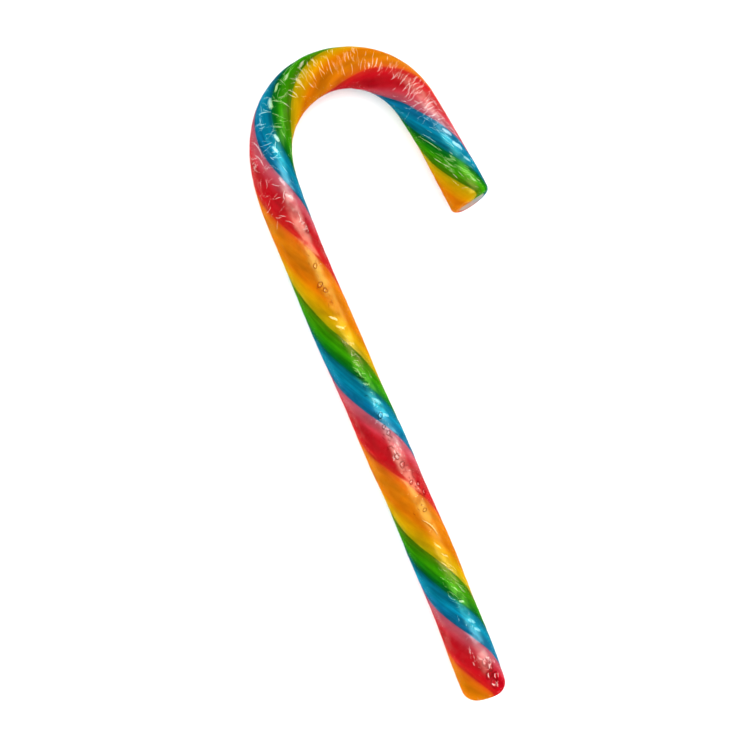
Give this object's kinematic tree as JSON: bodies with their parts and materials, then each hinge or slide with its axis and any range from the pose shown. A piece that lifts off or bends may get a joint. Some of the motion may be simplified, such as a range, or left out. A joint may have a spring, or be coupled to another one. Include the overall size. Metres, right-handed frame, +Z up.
{
  "type": "candy cane",
  "caption": "Rainbow-striped hard candy cane in a tight clear wrap, lying flat: a twisted rope of boiled sugar with a rounded foot, bent into an open hook with a slanted cut tip.",
  "frame": {"origin": "on the surface it lies on, under the middle of the bounding box", "axes": "+Y along the shaft from the foot towards the hook, +X the way the hook bends, +Z up off the surface"},
  "size_m": [0.053, 0.159, 0.0109],
  "materials": {
    "candy": "smooth translucent boiled sugar in twisted stripes of yellow, orange, red, pink, blue and green, seen through a clear wrap",
    "clear_wrap": "thin clear film shrunk tight, high gloss, with fine creases round the hook and small trapped bubbles along the shaft"
  },
  "bodies": {
    "root": {"candy_cane": "candy"}
  },
  "joints": []
}
